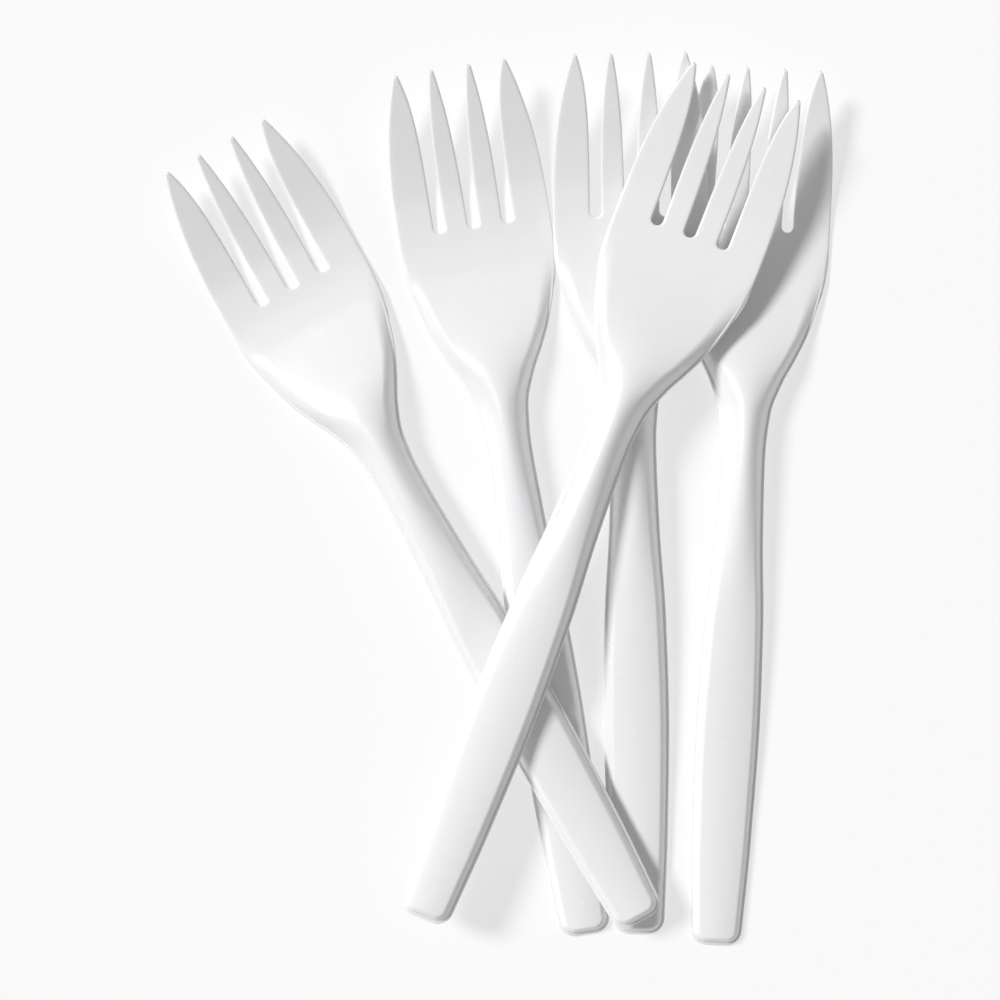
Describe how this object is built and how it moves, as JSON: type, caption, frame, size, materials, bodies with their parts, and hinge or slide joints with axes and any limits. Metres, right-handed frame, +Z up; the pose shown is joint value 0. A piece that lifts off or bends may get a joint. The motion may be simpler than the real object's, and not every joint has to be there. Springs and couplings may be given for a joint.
{
  "type": "pack of plastic forks",
  "caption": "Loose pack of disposable white plastic forks lying across one another, each a one-piece moulding with a channel handle, a shallow head and rising tines.",
  "frame": {"origin": "centre of the pack's outline on the table it lies on", "axes": "+Y from the handle ends towards the tines, +X to the right seen from above, +Z up, out of the forks' eating side"},
  "size_m": [0.1302, 0.1736, 0.0167],
  "materials": {
    "white_plastic": "glossy white polystyrene, as moulded"
  },
  "bodies": {
    "root": {"fork_right": "white_plastic", "fork_centre_left": "white_plastic", "fork_centre_right": "white_plastic", "fork_left": "white_plastic", "fork_across": "white_plastic"}
  },
  "joints": []
}
